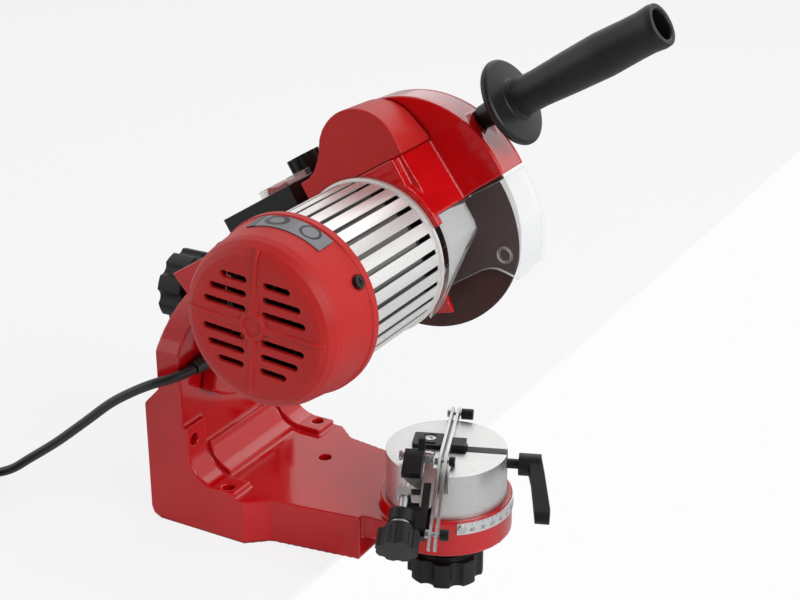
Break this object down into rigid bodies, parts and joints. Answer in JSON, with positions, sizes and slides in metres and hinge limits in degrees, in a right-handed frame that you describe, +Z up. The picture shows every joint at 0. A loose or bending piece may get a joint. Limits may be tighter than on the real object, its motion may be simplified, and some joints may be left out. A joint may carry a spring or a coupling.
{
  "type": "electric chainsaw sharpener",
  "caption": "Bench chainsaw sharpener: red cast stand, swivelling chain vise with stop, tilting grinding arm with finned motor, guarded wheel, grip handle and mains lead.",
  "frame": {"origin": "midway between the two bench bolt holes, in the bench plane", "axes": "+X from the upright wall to the operator, +Y to the far side from the motor, +Z up"},
  "size_m": [0.5836, 0.3089, 0.4266],
  "materials": {
    "red_paint": "gloss",
    "red_plastic": "matte",
    "aluminium": "satin",
    "steel": "satin",
    "dark_steel": "satin",
    "black_plastic": "matte",
    "clear_plastic": "gloss",
    "clear_cover": "gloss",
    "rocker_red": "gloss",
    "abrasive": "matte",
    "copper": "satin",
    "white_plastic": "matte",
    "cord_black": "matte"
  },
  "bodies": {
    "base": {"base_casting": "red_paint", "angle_scale": "aluminium", "scale_screws": "steel", "cord_run": "cord_black", "cord_coil": "cord_black", "plug": "cord_black"},
    "table": {"turntable": "aluminium", "swivel_stud": "steel", "fixed_rail": "steel", "rail_bolts": "steel", "rail_caps": "black_plastic", "index_plate": "black_plastic", "index_screw": "steel", "stop_body": "black_plastic", "stop_spring": "steel"},
    "lock_knob": {"swivel_knob": "black_plastic"},
    "jaw": {"moving_rail": "steel", "clamp_block": "black_plastic"},
    "clamp": {"clamp_rod": "black_plastic", "clamp_lever": "black_plastic"},
    "stop": {"stop_slide": "steel", "pawl_pin": "steel"},
    "pawl": {"stop_pawl": "black_plastic"},
    "stop_wheel": {"stop_screw": "steel", "stop_knob": "black_plastic"},
    "carrier": {"tilt_carrier": "red_paint", "tilt_stud": "steel", "tilt_washer": "steel", "arm_pin": "steel", "cord_gland": "cord_black"},
    "tilt_lock": {"tilt_knob": "black_plastic"},
    "arm": {"arm_casting": "red_paint", "guard_cover": "red_paint", "arm_screws": "steel", "clear_guard": "clear_plastic", "capacitor_cover": "red_plastic", "capacitor": "white_plastic", "motor_housing": "aluminium", "stator": "dark_steel", "windings": "copper", "end_cap": "red_plastic", "cap_screws": "black_plastic", "rating_plate": "steel", "end_shield": "dark_steel", "motor_bearings": "steel", "switch_box": "black_plastic", "switch_frame": "clear_cover", "rocker_pin": "steel", "handle": "black_plastic", "handle_stud": "steel", "depth_nut": "steel"},
    "wheel": {"motor_shaft": "steel", "rotor": "dark_steel", "fan": "black_plastic", "wheel_flanges": "steel", "grinding_wheel": "abrasive", "wheel_nut": "steel"},
    "rocker": {"rocker": "rocker_red"},
    "depth": {"depth_screw": "steel", "depth_knob": "black_plastic"}
  },
  "joints": [
    {"name": "vise_swivel", "type": "hinge", "parent": "base", "child": "table", "pos_m": [0.143, 0.005, 0.05], "axis": [0, 0, 1], "range_deg": [-56, 14]},
    {"name": "lock_knob_turn", "type": "hinge", "parent": "table", "child": "lock_knob", "pos_m": [0.143, 0.005, -0.01], "axis": [0, 0, 1], "range_deg": [-180, 90]},
    {"name": "clamp_turn", "type": "hinge", "parent": "table", "child": "clamp", "pos_m": [0.18968, 0.02292, 0.068], "axis": [0.9336, 0.3584, 0], "range_deg": [-90, 60]},
    {"name": "jaw_slide", "type": "slide", "parent": "table", "child": "jaw", "axis": [0.9336, 0.3584, 0], "range_m": [-0.0005, 0.000333]},
    {"name": "stop_wheel_turn", "type": "hinge", "parent": "table", "child": "stop_wheel", "pos_m": [0.15473, -0.08556, 0.05072], "axis": [0.3039, -0.7917, -0.5299], "range_deg": [-720, 720]},
    {"name": "stop_travel", "type": "slide", "parent": "table", "child": "stop", "axis": [0.3039, -0.7917, -0.5299], "range_m": [-0.002, 0.002]},
    {"name": "pawl_flip", "type": "hinge", "parent": "stop", "child": "pawl", "pos_m": [0.13465, -0.02627, 0.08273], "axis": [-0.9336, -0.3584, 0], "range_deg": [0, 40]},
    {"name": "head_tilt", "type": "hinge", "parent": "base", "child": "carrier", "pos_m": [-0.03, 0, 0.158], "axis": [1, 0, 0], "range_deg": [-35, 0], "deforming": ["cord_run"]},
    {"name": "tilt_lock_turn", "type": "hinge", "parent": "carrier", "child": "tilt_lock", "pos_m": [-0.07, 0, 0.158], "axis": [1, 0, 0], "range_deg": [-90, 180]},
    {"name": "arm_swing", "type": "hinge", "parent": "carrier", "child": "arm", "pos_m": [-0.006, 0, 0.158], "axis": [0, 1, 0], "range_deg": [0, 32]},
    {"name": "wheel_spin", "type": "hinge", "parent": "arm", "child": "wheel", "pos_m": [0.11952, 0.0113, 0.23735], "axis": [0, 1, 0], "continuous": true},
    {"name": "switch_rock", "type": "hinge", "parent": "arm", "child": "rocker", "pos_m": [0.0372, -0.027, 0.25996], "axis": [0, 1, 0], "range_deg": [0, 12]},
    {"name": "depth_turn", "type": "hinge", "parent": "arm", "child": "depth", "pos_m": [0.03227, 0.01, 0.26028], "axis": [-0.5344, 0, 0.8453], "range_deg": [-180, 180]}
  ],
  "couplings": [
    {"joint": "clamp_turn", "follows": "jaw_slide", "rad_per_m": 3141.5},
    {"joint": "stop_wheel_turn", "follows": "stop_travel", "rad_per_m": 6283.1}
  ]
}
